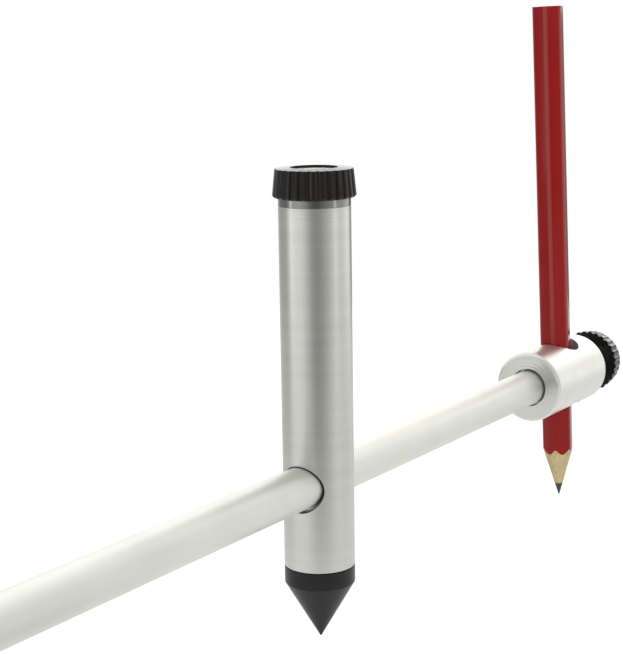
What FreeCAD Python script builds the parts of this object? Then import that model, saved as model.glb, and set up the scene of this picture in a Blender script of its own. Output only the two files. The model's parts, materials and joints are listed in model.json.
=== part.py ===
import FreeCAD, Part
import os
import Sketcher

# A beam compass. A round beam carries a pencil holder at one end, and a pivot post slides along it.
# Frame: millimetres, origin at the tip of the pivot point, +Z up the post, +X along the beam
# towards the pencil.

Vector = FreeCAD.Vector
LEAST_CUT = 0.001  # mm3: a cut that takes less than this has missed its piece
doc = FreeCAD.newDocument("beam_compass")
sheet = doc.addObject("Spreadsheet::Sheet", "sizes")

SIZES = {
    # running, thread and press clearances, each on the radius
    "run_gap": 0.05,
    "press_gap": 0.01,
    "loose_gap": 0.35,
    # pivot post
    "post_diameter": 15.0,
    "post_wall": 1.5,
    "post_length": 76.65,
    "tube_chamfer": 0.25,
    "point_length": 16.15,
    "point_collar": 3.6,
    "point_flat": 0.12,
    "point_spigot": 7.5,
    "spigot_chamfer": 0.6,
    "beam_height": 34.5,
    "cross_hole_gap": 0.5,
    "cross_hole_drop": 0.3,
    # clamp inside the post
    "eye_floor": 4.0,
    "eye_neck": 8.0,
    "stud_diameter": 6.0,
    "stud_chamfer": 0.5,
    "stud_engagement": 7.0,
    "stud_short": 0.6,
    "bush_flange": 1.6,
    "bush_sleeve": 8.0,
    "washer_thickness": 1.1,
    "washer_diameter": 13.6,
    "washer_sink": 1.0,
    "spring_wire": 0.8,
    "spring_diameter": 10.0,
    "spring_turns": 12.0,
    # clamp cap
    "cap_diameter": 17.3,
    "cap_top_diameter": 16.2,
    "cap_height": 6.1,
    "cap_rim_edge": 0.35,
    "crown_drop": 0.25,
    "flute_count": 28.0,
    "flute_diameter": 1.1,
    "flute_depth": 0.42,
    "flute_rise": 0.2,
    "insert_diameter": 8.0,
    "insert_length": 3.2,
    "insert_flange": 0.8,
    "insert_flange_diameter": 10.0,
    "disc_diameter": 9.8,
    "disc_thickness": 1.0,
    "disc_chamfer": 0.2,
    "cap_recess": 0.5,
    # beam
    "beam_diameter": 9.0,
    "beam_wall": 1.5,
    "beam_length": 400.0,
    "beam_chamfer": 0.3,
    "plug_head": 1.6,
    "plug_edge": 0.4,
    "plug_length": 10.0,
    # pencil holder
    "holder_reach": 101.3,
    "holder_diameter": 18.3,
    "holder_length": 30.2,
    "holder_chamfer": 0.8,
    "holder_rear_chamfer": 0.4,
    "mouth_gap": 0.5,
    "mouth_depth": 3.0,
    "beam_seat": 11.0,
    "lean": 2.2,
    "set_screw_diameter": 4.0,
    "set_screw_length": 4.0,
    "set_screw_reach": 6.5,
    "set_screw_socket": 2.0,
    "socket_depth": 1.8,
    # clamp knob at the holder's rear
    "knob_standoff": 8.4,
    "knob_hub": 3.0,
    "knob_hub_diameter": 8.0,
    "knob_diameter": 17.1,
    "knob_top_diameter": 15.9,
    "knob_height": 4.75,
    "knob_recess": 0.4,
    "knob_socket": 2.5,
    "pad_diameter": 5.3,
    "pad_length": 4.0,
    "pintle_diameter": 2.4,
    "pintle_length": 1.8,
    # pencil
    "pencil_reach": 118.9,
    "pencil_flats": 7.5,
    "pencil_length": 131.6,
    "pencil_drop": 33.2,
    "pencil_turn": 15.0,
    "pencil_hole_gap": 1.3,
    "pencil_grip": 0.03,
    "lacquer": 0.12,
    "lead_diameter": 2.2,
    "lead_flat": 0.15,
    "sharpening_angle": 16.5,
}

for row, (alias, number) in enumerate(SIZES.items(), 1):
    sheet.set(f"A{row}", alias)
    sheet.set(f"B{row}", str(number))
    sheet.setAlias(f"B{row}", alias)
doc.recompute()


# Derived lengths, as expressions on the sheet.

TUBE_OUTER = "(sizes.post_diameter / 2)"
TUBE_INNER = f"({TUBE_OUTER} - sizes.post_wall)"
TUBE_BOTTOM = "sizes.point_length"
TUBE_TOP = "(sizes.point_length + sizes.post_length)"
BUSH_TOP = f"({TUBE_TOP} + sizes.bush_flange)"
BUSH_END = f"({TUBE_TOP} - sizes.bush_sleeve)"
WASHER_TOP = f"({BUSH_TOP} + sizes.washer_thickness)"
CAP_BOTTOM = f"({WASHER_TOP} - sizes.washer_sink)"
CAP_TOP = f"({CAP_BOTTOM} + sizes.cap_height)"
CAP_FLOOR = f"({CAP_TOP} - sizes.cap_recess - sizes.disc_thickness)"
BEAM = "(sizes.beam_diameter / 2)"
BEAM_BORE = f"({BEAM} - sizes.beam_wall)"
BEAM_HOLE = f"({BEAM} + sizes.run_gap)"
BEAM_END = "(sizes.holder_reach + sizes.beam_seat)"
BEAM_START = f"({BEAM_END} - sizes.beam_length)"
EYE_BOTTOM = f"(sizes.beam_height - {BEAM_HOLE} - sizes.eye_floor)"
EYE_TOP = f"(sizes.beam_height + {BEAM_HOLE} + sizes.eye_neck)"
STUD = "(sizes.stud_diameter / 2)"
STUD_HOLE = f"({STUD} + sizes.run_gap)"
STUD_BOTTOM = f"({EYE_TOP} - sizes.stud_engagement)"
STUD_TOP = f"({WASHER_TOP} + sizes.insert_length - sizes.stud_short)"
HOLDER = "(sizes.holder_diameter / 2)"
BEAM_POCKET = f"({BEAM_END} + sizes.run_gap)"
HOLDER_REAR = "(sizes.holder_reach + sizes.holder_length)"
PENCIL_CORNER = "(sizes.pencil_flats / sqrt(3))"
PENCIL_REACH_IN_X = f"({PENCIL_CORNER} * cos(sizes.pencil_turn))"
PENCIL_HOLE = f"({PENCIL_CORNER} + sizes.pencil_hole_gap)"
PENCIL_HOLE_AT = f"(sizes.pencil_reach + {PENCIL_HOLE} - {PENCIL_CORNER} - sizes.pencil_grip)"
PAD_FRONT = f"(sizes.pencil_reach + {PENCIL_REACH_IN_X} + sizes.pencil_grip)"
PAD_REAR = f"({PAD_FRONT} + sizes.pad_length)"
KNOB_FACE = f"({HOLDER_REAR} + sizes.knob_standoff)"
KNOB_END = f"({KNOB_FACE} + sizes.knob_height)"
KNOB_FLOOR = f"({KNOB_END} - sizes.knob_recess - sizes.disc_thickness)"
DISC_SEAT = "(sizes.disc_diameter / 2 + sizes.press_gap)"


def size(expression):
    """The present value of an expression on the sheet."""
    found = sheet.evalExpression(expression)
    return float(getattr(found, "Value", found))


def bind(thing, path, expression):
    thing.setExpression(path, expression)


def new_body(label):
    body = doc.addObject("PartDesign::Body", label)
    body.Label = label
    return body


def new_sketch(body, role, name, offset=None):
    """A sketch on one of the body's own origin planes, moved along the plane's normal by offset."""
    sketch = body.newObject("Sketcher::SketchObject", name)
    plane = next(feature for feature in body.Origin.OriginFeatures if feature.Role == role)
    sketch.AttachmentSupport = (plane, [""])
    sketch.MapMode = "FlatFace"
    if offset:
        sketch.AttachmentOffset.Base.z = size(offset)
        bind(sketch, "AttachmentOffset.Base.z", offset)
    return sketch


def place_point(sketch, edge, point, across, up):
    """Ties a point of an edge to the sketch's origin. A coordinate of "0" puts it on the axis."""
    for kind, axis, expression in (("DistanceX", -2, across), ("DistanceY", -1, up)):
        if expression == "0":
            sketch.addConstraint(Sketcher.Constraint("PointOnObject", edge, point, axis))
            continue
        made = sketch.addConstraint(
            Sketcher.Constraint(kind, -1, 1, edge, point, size(expression))
        )
        bind(sketch, f"Constraints[{made}]", f"({expression}) * 1 mm")


def outline(body, role, name, corners, offset=None):
    """A closed polygon whose corners are pairs of expressions."""
    sketch = new_sketch(body, role, name, offset)
    places = [Vector(size(across), size(up), 0) for across, up in corners]
    count = len(corners)
    for start, end in zip(places, places[1:] + places[:1]):
        sketch.addGeometry(Part.LineSegment(start, end), False)
    for edge in range(count):
        sketch.addConstraint(Sketcher.Constraint("Coincident", edge, 2, (edge + 1) % count, 1))
    for edge, (across, up) in enumerate(corners):
        place_point(sketch, edge, 1, across, up)
    return sketch


def ring(body, role, name, across, up, radius, offset=None):
    """A circle whose centre and radius are expressions."""
    sketch = new_sketch(body, role, name, offset)
    centre = Vector(size(across), size(up), 0)
    sketch.addGeometry(Part.Circle(centre, Vector(0, 0, 1), size(radius)), False)
    place_point(sketch, 0, 3, across, up)
    made = sketch.addConstraint(Sketcher.Constraint("Radius", 0, size(radius)))
    bind(sketch, f"Constraints[{made}]", f"({radius}) * 1 mm")
    return sketch


def turned(label, corners, axis="V_Axis"):
    """A lathe-turned piece. Upright pieces list (radius, height), beam-wise ones (reach, radius)."""
    body = new_body(label)
    profile = outline(body, "XZ_Plane", f"{label}_profile", corners)
    revolution = body.newObject("PartDesign::Revolution", f"{label}_turned")
    revolution.Profile = profile
    revolution.ReferenceAxis = (profile, [axis])
    revolution.Angle = 360
    doc.recompute()
    return body


def cut_through(body, profile, depth=None, reverse=False):
    """Pockets a sketch, right through both ways or to a depth, and makes sure that material went."""
    before = body.Shape.Volume
    pocket = body.newObject("PartDesign::Pocket", f"{profile.Name}_cut")
    pocket.Profile = profile
    pocket.Reversed = reverse
    if depth:
        pocket.Type = 0
        pocket.Length = size(depth)
        bind(pocket, "Length", depth)
    else:
        pocket.Type = 1
        pocket.Midplane = True
    doc.recompute()
    if not body.Shape.Volume < before - LEAST_CUT:
        raise RuntimeError(f"{pocket.Name} cut nothing")
    return pocket


def flute(body, role, wide, wide_at, narrow, narrow_at):
    """Grip flutes down a tapered rim: one lofted groove, repeated round the axis. It rises
    towards the narrow end, where it is shallower."""
    out = "(sizes.flute_diameter / 2 - sizes.flute_depth)"
    groove = "(sizes.flute_diameter / 2)"
    narrow = f"({narrow} + sizes.flute_rise)"
    ends = [
        ring(body, role, f"{body.Label}_flute_{name}", f"({radius} + {out})", "0", groove, at)
        for name, radius, at in (("wide", wide, wide_at), ("narrow", narrow, narrow_at))
    ]
    before = body.Shape.Volume
    loft = body.newObject("PartDesign::SubtractiveLoft", f"{body.Label}_flute")
    loft.Profile = ends[0]
    loft.Sections = [ends[1]]
    doc.recompute()
    pattern = body.newObject("PartDesign::PolarPattern", f"{body.Label}_flutes")
    pattern.Originals = [loft]
    pattern.Axis = (ends[0], ["N_Axis"])
    pattern.Angle = 360
    bind(pattern, "Occurrences", "sizes.flute_count")
    body.Tip = pattern
    doc.recompute()
    if not body.Shape.Volume < before - LEAST_CUT:
        raise RuntimeError(f"{pattern.Name} cut nothing")


def hexagon(body, name, flats, turn="0", offset=None):
    """A level hexagon across flats, with a corner at the angle turn."""
    radius = f"{flats} / sqrt(3)"
    angles = [f"{turn} + {60 * corner}" for corner in range(6)]
    corners = [(f"({radius} * cos({angle}))", f"({radius} * sin({angle}))") for angle in angles]
    return outline(body, "XY_Plane", name, corners, offset)


def stand_on_beam_axis(body):
    """Lifts a beam-wise piece from the origin to the beam's height."""
    bind(body, "Placement.Base.z", "sizes.beam_height")


def lean_with_holder(body, reach=None):
    """Puts a piece on the beam's axis, turned about it with the holder, at a reach along it."""
    body.Placement = FreeCAD.Placement(Vector(), FreeCAD.Rotation(Vector(1, 0, 0), 1))
    bind(body, "Placement.Base.z", "sizes.beam_height")
    bind(body, "Placement.Rotation.Angle", "-sizes.lean")
    if reach:
        bind(body, "Placement.Base.x", reach)


def make_post_tube():
    """Aluminium tube with one cross hole for the beam."""
    edge = "sizes.tube_chamfer"
    body = turned("post_tube", [
        (TUBE_INNER, TUBE_BOTTOM),
        (f"{TUBE_OUTER} - {edge}", TUBE_BOTTOM),
        (TUBE_OUTER, f"{TUBE_BOTTOM} + {edge}"),
        (TUBE_OUTER, TUBE_TOP),
        (TUBE_INNER, TUBE_TOP),
    ])
    hole = ring(body, "YZ_Plane", "beam_cross_hole", "0",
                "sizes.beam_height - sizes.cross_hole_drop", f"{BEAM} + sizes.cross_hole_gap")
    cut_through(body, hole)
    return body


def make_pivot_point():
    """Blackened steel cone with a short collar, and a spigot pressed up into the tube."""
    spigot = f"({TUBE_INNER} - sizes.press_gap)"
    spigot_top = f"({TUBE_BOTTOM} + sizes.point_spigot)"
    return turned("pivot_point", [
        ("0", "0"),
        ("sizes.point_flat", "0"),
        (TUBE_OUTER, f"{TUBE_BOTTOM} - sizes.point_collar"),
        (TUBE_OUTER, TUBE_BOTTOM),
        (spigot, TUBE_BOTTOM),
        (spigot, f"{spigot_top} - sizes.spigot_chamfer"),
        (f"{spigot} - sizes.spigot_chamfer", spigot_top),
        ("0", spigot_top),
    ])


def make_top_bush():
    """Steel bush in the tube's top. Its flange is the dark ring under the cap."""
    sleeve = f"({TUBE_INNER} - sizes.press_gap)"
    return turned("top_bush", [
        (STUD_HOLE, BUSH_END),
        (sleeve, BUSH_END),
        (sleeve, TUBE_TOP),
        (TUBE_OUTER, TUBE_TOP),
        (TUBE_OUTER, BUSH_TOP),
        (STUD_HOLE, BUSH_TOP),
    ])


def make_thrust_washer():
    """Slippery washer between the bush and the turning cap."""
    inner = "(sizes.stud_diameter / 2 + sizes.loose_gap)"
    outer = "(sizes.washer_diameter / 2)"
    return turned("thrust_washer", [
        (inner, BUSH_TOP),
        (outer, BUSH_TOP),
        (outer, WASHER_TOP),
        (inner, WASHER_TOP),
    ])


def make_clamp_cap():
    """Fluted cap with a low crown and a shallow recess. A threaded insert is moulded into it."""
    rim = "(sizes.cap_diameter / 2)"
    crown = "(sizes.cap_top_diameter / 2)"
    well = "(sizes.washer_diameter / 2 + sizes.loose_gap)"
    insert = "(sizes.insert_diameter / 2 + sizes.press_gap)"
    flange = "(sizes.insert_flange_diameter / 2 + sizes.press_gap)"
    flange_top = f"({WASHER_TOP} + sizes.insert_flange)"
    body = turned("clamp_cap", [
        (well, CAP_BOTTOM),
        (f"{rim} - sizes.cap_rim_edge", CAP_BOTTOM),
        (rim, f"{CAP_BOTTOM} + sizes.cap_rim_edge"),
        (crown, f"{CAP_TOP} - sizes.crown_drop"),
        (DISC_SEAT, CAP_TOP),
        (DISC_SEAT, CAP_FLOOR),
        (insert, CAP_FLOOR),
        (insert, flange_top),
        (flange, flange_top),
        (flange, WASHER_TOP),
        (well, WASHER_TOP),
    ])
    flute(body, "XY_Plane", rim, CAP_BOTTOM, crown, CAP_TOP)
    return body


def make_cap_insert():
    """Brass nut of the cap, with a flange that bears on the thrust washer."""
    outer = "(sizes.insert_diameter / 2)"
    flange = "(sizes.insert_flange_diameter / 2)"
    top = f"({WASHER_TOP} + sizes.insert_length)"
    return turned("cap_insert", [
        (STUD_HOLE, WASHER_TOP),
        (flange, WASHER_TOP),
        (flange, f"{WASHER_TOP} + sizes.insert_flange"),
        (outer, f"{WASHER_TOP} + sizes.insert_flange"),
        (outer, top),
        (STUD_HOLE, top),
    ])


def disc_corners(axis, floor):
    """Profile of an inlay disc that lies on the floor of its recess."""
    outer = "sizes.disc_diameter / 2"
    top = f"{floor} + sizes.disc_thickness"
    corners = [
        ("0", floor),
        (outer, floor),
        (outer, f"{top} - sizes.disc_chamfer"),
        (f"{outer} - sizes.disc_chamfer", top),
        ("0", top),
    ]
    return corners if axis == "V_Axis" else [(up, across) for across, up in corners]


def make_clamp_eye():
    """Round block that slides in the tube. The beam runs through its cross bore."""
    outer = f"({TUBE_INNER} - sizes.run_gap)"
    socket = f"({STUD} + sizes.press_gap)"
    body = turned("clamp_eye", [
        ("0", EYE_BOTTOM),
        (outer, EYE_BOTTOM),
        (outer, EYE_TOP),
        (socket, EYE_TOP),
        (socket, STUD_BOTTOM),
        ("0", STUD_BOTTOM),
    ])
    cut_through(body, ring(body, "YZ_Plane", "beam_bore", "0", "sizes.beam_height", BEAM_HOLE))
    return body


def make_draw_stud():
    """Threaded rod from the eye up into the cap's insert. Threads are drawn at their major size."""
    edge = "sizes.stud_chamfer"
    return turned("draw_stud", [
        ("0", STUD_BOTTOM),
        (f"{STUD} - {edge}", STUD_BOTTOM),
        (STUD, f"{STUD_BOTTOM} + {edge}"),
        (STUD, f"{STUD_TOP} - {edge}"),
        (f"{STUD} - {edge}", STUD_TOP),
        ("0", STUD_TOP),
    ])


def make_release_spring():
    """Coil spring round the stud, between the bush and the eye. It frees the beam."""
    body = new_body("release_spring")
    wire = "(sizes.spring_wire / 2)"
    mean = f"(sizes.spring_diameter / 2 - {wire})"
    start = f"({EYE_TOP} + {wire} + sizes.press_gap)"
    rise = f"({BUSH_END} - {EYE_TOP} - sizes.spring_wire - 2 * sizes.press_gap)"
    profile = ring(body, "XZ_Plane", "spring_wire_section", mean, start, wire)
    helix = body.newObject("PartDesign::AdditiveHelix", "spring_coil")
    helix.Profile = profile
    helix.ReferenceAxis = (profile, ["V_Axis"])
    helix.Mode = "height-turns-angle"
    bind(helix, "Turns", "sizes.spring_turns")
    bind(helix, "Height", rise)
    doc.recompute()
    return body


def make_beam_tube():
    """Anodised aluminium tube, open at the free end and seated in the holder at the other."""
    edge = "sizes.beam_chamfer"
    body = turned("beam_tube", [
        (BEAM_START, BEAM_BORE),
        (BEAM_START, BEAM),
        (f"{BEAM_END} - {edge}", BEAM),
        (BEAM_END, f"{BEAM} - {edge}"),
        (BEAM_END, BEAM_BORE),
    ], "H_Axis")
    stand_on_beam_axis(body)
    return body


def make_beam_end_plug():
    """Plug in the beam's free end. Its head is no wider than the beam, so the post slides off."""
    head = f"({BEAM} - sizes.press_gap)"
    plug = f"({BEAM_BORE} - sizes.press_gap)"
    tip = f"({BEAM_START} - sizes.plug_head)"
    body = turned("beam_end_plug", [
        (tip, "0"),
        (tip, f"{head} - sizes.plug_edge"),
        (f"{tip} + sizes.plug_edge", head),
        (BEAM_START, head),
        (BEAM_START, plug),
        (f"{BEAM_START} + sizes.plug_length", plug),
        (f"{BEAM_START} + sizes.plug_length", "0"),
    ], "H_Axis")
    stand_on_beam_axis(body)
    return body


def make_holder_body():
    """Aluminium block: beam bore in front, pencil hole across, tapped hole at the rear."""
    edge = "sizes.holder_chamfer"
    rear_edge = "sizes.holder_rear_chamfer"
    front = "sizes.holder_reach"
    mouth = f"({BEAM} + sizes.mouth_gap)"
    body = turned("holder_body", [
        (front, mouth),
        (front, f"{HOLDER} - {edge}"),
        (f"{front} + {edge}", HOLDER),
        (f"{HOLDER_REAR} - {rear_edge}", HOLDER),
        (HOLDER_REAR, f"{HOLDER} - {rear_edge}"),
        (HOLDER_REAR, STUD_HOLE),
        (PENCIL_HOLE_AT, STUD_HOLE),
        (PENCIL_HOLE_AT, "0"),
        (BEAM_POCKET, "0"),
        (BEAM_POCKET, BEAM_HOLE),
        (f"{front} + sizes.mouth_depth", BEAM_HOLE),
        (f"{front} + sizes.mouth_depth", mouth),
    ], "H_Axis")
    cut_through(body, ring(body, "XY_Plane", "pencil_hole", PENCIL_HOLE_AT, "0", PENCIL_HOLE))
    screw = "(sizes.set_screw_diameter / 2 + sizes.press_gap)"
    screw_at = f"{front} + sizes.set_screw_reach"
    tapped = ring(body, "XY_Plane", "set_screw_hole", screw_at, "0", screw)
    cut_through(body, tapped, depth=HOLDER)
    lean_with_holder(body)
    return body


def make_holder_set_screw():
    """Hexagon-socket screw under the holder that fixes it on the beam."""
    outer = "(sizes.set_screw_diameter / 2)"
    top = f"(0 - {BEAM_HOLE})"
    bottom = f"({top} - sizes.set_screw_length)"
    body = turned("holder_set_screw", [
        ("0", bottom),
        (outer, bottom),
        (outer, f"{top} - sizes.stud_chamfer"),
        (f"{outer} - sizes.stud_chamfer", top),
        ("0", top),
    ])
    socket = hexagon(body, "set_screw_socket_hexagon", "sizes.set_screw_socket", offset=bottom)
    cut_through(body, socket, reverse=True, depth="sizes.socket_depth")
    lean_with_holder(body, "sizes.holder_reach + sizes.set_screw_reach")
    return body


def make_clamp_knob():
    """Fluted knob behind the holder, with a hub, a low crown and a recess like the cap's."""
    rim = "(sizes.knob_diameter / 2)"
    crown = "(sizes.knob_top_diameter / 2)"
    hub = "(sizes.knob_hub_diameter / 2)"
    socket = f"({STUD} + sizes.press_gap)"
    hub_face = f"({KNOB_FACE} - sizes.knob_hub)"
    socket_end = f"({KNOB_FACE} + sizes.knob_socket)"
    body = turned("clamp_knob", [
        (hub_face, socket),
        (hub_face, hub),
        (KNOB_FACE, hub),
        (KNOB_FACE, rim),
        (f"{KNOB_END} - sizes.crown_drop", crown),
        (KNOB_END, DISC_SEAT),
        (KNOB_FLOOR, DISC_SEAT),
        (KNOB_FLOOR, "0"),
        (socket_end, "0"),
        (socket_end, socket),
    ], "H_Axis")
    flute(body, "YZ_Plane", rim, KNOB_FACE, crown, KNOB_END)
    lean_with_holder(body)
    return body


def make_knob_stud():
    """Threaded stud moulded into the knob, with a pintle that carries the pressure pad."""
    pintle = "(sizes.pintle_diameter / 2)"
    end = f"({KNOB_FACE} + sizes.knob_socket - sizes.press_gap)"
    shoulder = f"({PAD_REAR} + sizes.run_gap)"
    edge = "sizes.stud_chamfer"
    body = turned("knob_stud", [
        (f"{PAD_REAR} - sizes.pintle_length", "0"),
        (f"{PAD_REAR} - sizes.pintle_length", pintle),
        (shoulder, pintle),
        (shoulder, f"{STUD} - {edge}"),
        (f"{shoulder} + {edge}", STUD),
        (end, STUD),
        (end, "0"),
    ], "H_Axis")
    lean_with_holder(body)
    return body


def make_pressure_pad():
    """Brass pad that the stud pushes against the pencil. It doesn't turn with the stud."""
    outer = "(sizes.pad_diameter / 2)"
    well = "(sizes.pintle_diameter / 2 + sizes.run_gap)"
    floor = f"({PAD_REAR} - sizes.pintle_length - sizes.run_gap)"
    body = turned("pressure_pad", [
        (PAD_FRONT, "0"),
        (PAD_FRONT, f"{outer} - sizes.disc_chamfer"),
        (f"{PAD_FRONT} + sizes.disc_chamfer", outer),
        (PAD_REAR, outer),
        (PAD_REAR, well),
        (floor, well),
        (floor, "0"),
    ], "H_Axis")
    lean_with_holder(body)
    return body


PENCIL_BOTTOM = "(0 - sizes.pencil_drop)"
PENCIL_TOP = f"({PENCIL_BOTTOM} + sizes.pencil_length)"


def sharpen(body):
    """Cuts the pencil's point: everything outside the cone that carries on the lead's cone."""
    beyond = "sizes.pencil_flats"
    rise = f"(({beyond} - sizes.lead_flat) / tan(sizes.sharpening_angle))"
    waste = outline(body, "XZ_Plane", f"{body.Label}_sharpening", [
        ("sizes.lead_flat", PENCIL_BOTTOM),
        (beyond, PENCIL_BOTTOM),
        (beyond, f"{PENCIL_BOTTOM} + {rise}"),
    ])
    before = body.Shape.Volume
    groove = body.newObject("PartDesign::Groove", f"{body.Label}_point")
    groove.Profile = waste
    groove.ReferenceAxis = (waste, ["V_Axis"])
    groove.Angle = 360
    doc.recompute()
    if not body.Shape.Volume < before - LEAST_CUT:
        raise RuntimeError(f"{groove.Name} cut nothing")


def pencil_sleeve(label, outer_flats, inner):
    """A hexagonal length of pencil with a hole down its middle, sharpened at its lower end.
    inner makes the hole's sketch."""
    body = new_body(label)
    section = hexagon(body, f"{label}_section", outer_flats, "sizes.pencil_turn", PENCIL_BOTTOM)
    pad = body.newObject("PartDesign::Pad", f"{label}_length")
    pad.Profile = section
    pad.Length = size("sizes.pencil_length")
    bind(pad, "Length", "sizes.pencil_length")
    doc.recompute()
    cut_through(body, inner(body))
    sharpen(body)
    lean_with_holder(body, "sizes.pencil_reach")
    return body


WOOD_FLATS = "(sizes.pencil_flats - 2 * sizes.lacquer)"


def make_pencil_casing():
    """Wooden casing, drilled for the lead."""
    lead_hole = "(sizes.lead_diameter / 2 + sizes.press_gap)"
    return pencil_sleeve("pencil_casing", WOOD_FLATS,
                         lambda body: ring(body, "XY_Plane", "lead_hole", "0", "0", lead_hole))


def make_pencil_lacquer():
    """The coat of paint, which the sharpening cuts back in scallops."""
    return pencil_sleeve("pencil_lacquer", "sizes.pencil_flats",
                         lambda body: hexagon(body, "wood_hexagon", WOOD_FLATS, "sizes.pencil_turn"))


def make_pencil_lead():
    """Graphite core with its cone."""
    lead = "(sizes.lead_diameter / 2)"
    slope = "tan(sizes.sharpening_angle)"
    body = turned("pencil_lead", [
        ("0", PENCIL_BOTTOM),
        ("sizes.lead_flat", PENCIL_BOTTOM),
        (lead, f"{PENCIL_BOTTOM} + ({lead} - sizes.lead_flat) / {slope}"),
        (lead, PENCIL_TOP),
        ("0", PENCIL_TOP),
    ])
    lean_with_holder(body, "sizes.pencil_reach")
    return body


def make_cap_disc():
    """Aluminium inlay on the floor of the cap's recess."""
    return turned("cap_disc", disc_corners("V_Axis", CAP_FLOOR))


def make_knob_disc():
    """Aluminium inlay on the floor of the knob's recess."""
    body = turned("knob_disc", disc_corners("H_Axis", KNOB_FLOOR), "H_Axis")
    lean_with_holder(body)
    return body


MAKERS = (
    make_post_tube, make_pivot_point, make_top_bush, make_thrust_washer,
    make_clamp_cap, make_cap_insert, make_cap_disc,
    make_clamp_eye, make_draw_stud, make_release_spring,
    make_beam_tube, make_beam_end_plug,
    make_holder_body, make_holder_set_screw,
    make_clamp_knob, make_knob_stud, make_knob_disc, make_pressure_pad,
    make_pencil_casing, make_pencil_lacquer, make_pencil_lead,
)

pieces = [make() for make in MAKERS]
doc.recompute()

for feature in doc.Objects:
    if "Invalid" in feature.State or "Error" in feature.State:
        raise RuntimeError(f"{feature.Label} failed: {feature.State}")
for piece in pieces:
    if piece.Shape.isNull() or not piece.Shape.isValid() or len(piece.Shape.Solids) != 1:
        raise RuntimeError(f"{piece.Label} isn't one valid solid")

os.makedirs("parts", exist_ok=True)
for piece in pieces:
    box = piece.Shape.BoundBox
    piece.Shape.exportStep(f"parts/{piece.Label}.step")
    print(f"{piece.Label:18s} {piece.Shape.Volume:10.1f} mm3   "
          f"x {box.XMin:8.2f} {box.XMax:8.2f}   y {box.YMin:7.2f} {box.YMax:7.2f}   "
          f"z {box.ZMin:7.2f} {box.ZMax:7.2f}")
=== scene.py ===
# %% [markdown]
# # A beam compass
#
# A beam compass draws circles too large for a pair of compasses. A steel point stands in a
# tubular post, a long round beam passes through the post, and a holder at the beam's end
# carries a pencil. A fluted cap on the post clamps the beam, and a fluted knob behind the
# holder clamps the pencil.
#
# The construction model comes in first. It fixes every size and place, so it can't be moved.

import json
import math

import bmesh
import bpy
from mathutils import Matrix, Vector


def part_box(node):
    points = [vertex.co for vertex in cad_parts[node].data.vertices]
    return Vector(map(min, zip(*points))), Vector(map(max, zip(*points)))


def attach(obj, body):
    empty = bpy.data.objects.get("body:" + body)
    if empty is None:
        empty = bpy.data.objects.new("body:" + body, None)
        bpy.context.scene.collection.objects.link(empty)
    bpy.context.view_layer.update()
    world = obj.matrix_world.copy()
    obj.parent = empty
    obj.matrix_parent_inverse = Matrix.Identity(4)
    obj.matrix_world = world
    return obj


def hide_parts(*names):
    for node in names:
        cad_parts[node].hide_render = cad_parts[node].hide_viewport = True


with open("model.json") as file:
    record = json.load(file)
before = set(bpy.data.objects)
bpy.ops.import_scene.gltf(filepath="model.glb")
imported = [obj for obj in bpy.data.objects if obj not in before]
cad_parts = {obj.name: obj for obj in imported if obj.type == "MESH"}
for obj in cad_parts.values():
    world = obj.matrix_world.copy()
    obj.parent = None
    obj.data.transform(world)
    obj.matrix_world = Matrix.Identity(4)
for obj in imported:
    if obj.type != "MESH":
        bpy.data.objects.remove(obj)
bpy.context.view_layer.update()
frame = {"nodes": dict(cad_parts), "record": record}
print("construction nodes:", len(frame["nodes"]))

# %% [markdown]
# ## The camera
#
# A portrait lens of 89 mm stands about a third of a metre away, a little above the tool. A long
# lens keeps the post's sides nearly parallel. A camera is turned most safely with matrices: it
# is born looking down, so it is first raised, then turned to its heading, and its small roll
# comes last, about its own line of sight.

# %% Set up the camera
CAMERA_PLACE = Vector((-0.27556, -0.17979, 0.12890))
CAMERA_HEADING = math.radians(56.703)
CAMERA_DIP = math.radians(10.583)
CAMERA_ROLL = math.radians(-0.903)
CAMERA_LENS = 88.81
CAMERA_NEAREST = 0.01

camera_data = bpy.data.cameras.new("camera")
camera_data.lens = CAMERA_LENS
camera_data.clip_start = CAMERA_NEAREST
camera = bpy.data.objects.new("camera", camera_data)
bpy.context.scene.collection.objects.link(camera)
camera.matrix_world = (
    Matrix.Translation(CAMERA_PLACE)
    @ Matrix.Rotation(-CAMERA_HEADING, 4, "Z")
    @ Matrix.Rotation(math.radians(90) - CAMERA_DIP, 4, "X")
    @ Matrix.Rotation(CAMERA_ROLL, 4, "Z")
)
bpy.context.scene.camera = camera
bpy.context.scene.view_settings.view_transform = "Standard"
print("camera distance from the pivot:", round(CAMERA_PLACE.length, 3))

# %% [markdown]
# ## Wires
#
# A finish is a small circuit of nodes. Written out node by node it is long and hard to read, so
# one class wraps a node's output. Sums written with it add Math nodes, and its one method adds
# any other node: its settings first, because some of them change which sockets there are.

# %% Write shader maths as sums


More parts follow.
